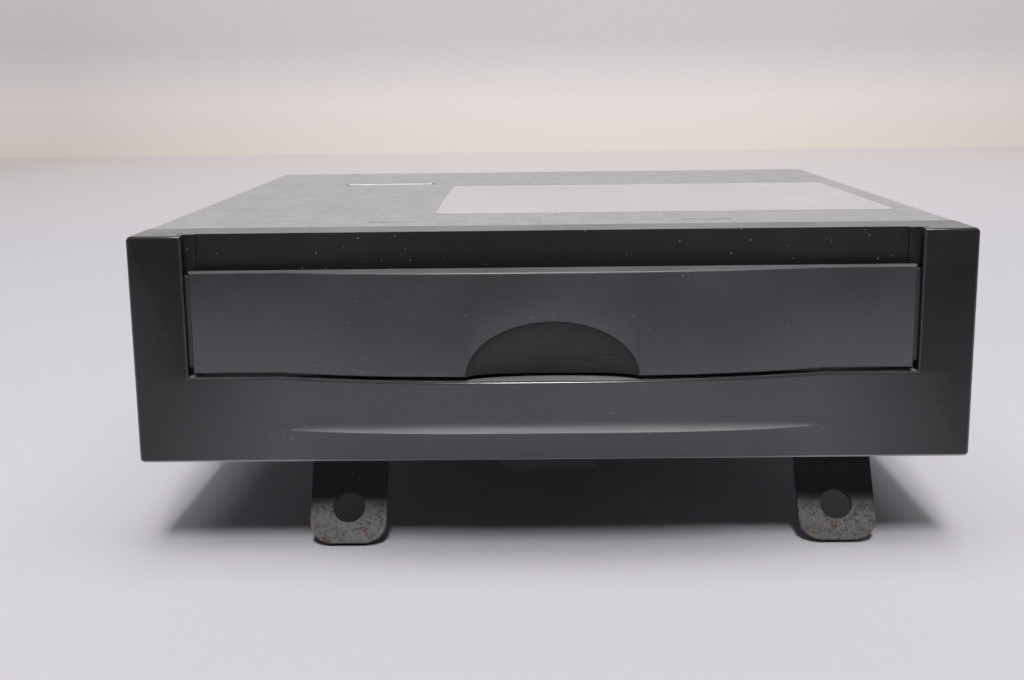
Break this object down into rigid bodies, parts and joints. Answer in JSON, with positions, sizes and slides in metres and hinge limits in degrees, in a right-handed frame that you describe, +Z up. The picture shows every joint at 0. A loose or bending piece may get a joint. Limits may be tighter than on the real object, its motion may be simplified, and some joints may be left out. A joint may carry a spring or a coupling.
{
  "type": "car navigation disc drive",
  "caption": "Single-height in-car navigation disc drive in a sheet-metal case, with a sliding front shutter over the disc slot and sloping mounting feet.",
  "frame": {"origin": "on the floor under the middle of the object's bounding box", "axes": "+X to the right seen from the front, +Y from the front to the back, +Z up"},
  "size_m": [0.178, 0.1968, 0.0704],
  "materials": {
    "face_plastic": "satin",
    "shutter_plastic": "satin",
    "felt": "matte",
    "case_steel": "satin",
    "foot_steel": "satin",
    "dark_steel": "matte",
    "screw_steel": "satin",
    "circuit_board": "satin",
    "chip_black": "matte",
    "capacitor_can": "satin",
    "connector_plastic": "satin",
    "contact_metal": "satin",
    "antenna_plastic": "satin",
    "switch_black": "satin",
    "deck_steel": "satin",
    "damper_rubber": "matte",
    "guide_plastic": "satin",
    "shaft_steel": "polished",
    "roller_rubber": "matte",
    "gear_plastic": "satin",
    "motor_can": "satin",
    "arm_steel": "satin",
    "sled_alloy": "satin",
    "lens_glass": "polished"
  },
  "bodies": {
    "chassis": {"front_bezel": "face_plastic", "slot_frame": "face_plastic", "slot_felts": "felt", "top_cover": "case_steel", "chassis_tray": "case_steel", "rear_panel": "case_steel", "front_left_foot": "foot_steel", "front_right_foot": "foot_steel", "rear_left_foot": "foot_steel", "rear_right_foot": "foot_steel", "bezel_clip": "dark_steel", "cover_screws": "screw_steel", "foot_screws": "screw_steel", "board_screws": "screw_steel", "damper_screws": "screw_steel", "damper_posts": "screw_steel", "board_standoffs": "screw_steel", "main_board": "circuit_board", "switch_board": "circuit_board", "board_chips": "chip_black", "board_capacitors": "capacitor_can", "harness_socket": "connector_plastic", "display_socket": "connector_plastic", "connector_pins": "contact_metal", "antenna_jack": "antenna_plastic", "eject_switch": "switch_black", "drive_deck": "deck_steel", "damper_grommets": "damper_rubber", "disc_guide": "guide_plastic", "rod_holders": "guide_plastic", "idler_axle": "shaft_steel", "clamp_hinge_pins": "shaft_steel", "guide_rods": "shaft_steel", "loading_motor": "motor_can", "spindle_motor": "motor_can", "sled_motor": "motor_can"},
    "door": {"front_door": "shutter_plastic"},
    "eject_button": {"eject_button": "shutter_plastic"},
    "roller": {"roller_shaft": "shaft_steel", "roller_sleeves": "roller_rubber", "roller_gear": "gear_plastic"},
    "idler": {"idler_gear": "gear_plastic"},
    "pinion": {"motor_pinion": "gear_plastic"},
    "turntable": {"turntable": "guide_plastic"},
    "clamp_arm": {"clamp_arm": "arm_steel"},
    "clamper": {"clamper": "guide_plastic"},
    "sled": {"pickup_sled": "sled_alloy", "lens_holder": "guide_plastic", "pickup_lens": "lens_glass"},
    "lead_screw": {"lead_screw": "shaft_steel"}
  },
  "joints": [
    {"name": "door_slide", "type": "slide", "parent": "chassis", "child": "door", "axis": [0, 0, 1], "range_m": [0, 0.0076]},
    {"name": "eject_press", "type": "slide", "parent": "chassis", "child": "eject_button", "axis": [0, 1, 0], "range_m": [0, 0.0008], "stiffness_N_per_m": 500},
    {"name": "roller_spin", "type": "hinge", "parent": "chassis", "child": "roller", "pos_m": [0, -0.05825, 0.0375], "axis": [1, 0, 0], "continuous": true},
    {"name": "idler_spin", "type": "hinge", "parent": "chassis", "child": "idler", "pos_m": [0, -0.04475, 0.0375], "axis": [1, 0, 0], "continuous": true},
    {"name": "pinion_spin", "type": "hinge", "parent": "chassis", "child": "pinion", "pos_m": [0, -0.03425, 0.0375], "axis": [1, 0, 0], "continuous": true},
    {"name": "turntable_spin", "type": "hinge", "parent": "chassis", "child": "turntable", "pos_m": [0, 0.00975, 0.0445], "axis": [0, 0, 1], "continuous": true},
    {"name": "clamp_lift", "type": "hinge", "parent": "chassis", "child": "clamp_arm", "pos_m": [0, 0.06575, 0.0455], "axis": [-1, 0, 0], "range_deg": [0, 4.5]},
    {"name": "clamper_spin", "type": "hinge", "parent": "clamp_arm", "child": "clamper", "pos_m": [0, 0.00975, 0.048], "axis": [0, 0, 1], "continuous": true},
    {"name": "screw_spin", "type": "hinge", "parent": "chassis", "child": "lead_screw", "pos_m": [-0.03, 0.02475, 0.038], "axis": [0, 1, 0], "range_deg": [0, 4080]},
    {"name": "sled_slide", "type": "slide", "parent": "chassis", "child": "sled", "axis": [0, 1, 0], "range_m": [0, 0.034]}
  ],
  "couplings": [
    {"joint": "idler_spin", "follows": "roller_spin", "ratio": -0.8},
    {"joint": "pinion_spin", "follows": "roller_spin", "ratio": 2},
    {"joint": "clamper_spin", "follows": "turntable_spin", "ratio": 1},
    {"joint": "screw_spin", "follows": "sled_slide", "rad_per_m": 2094.4}
  ]
}
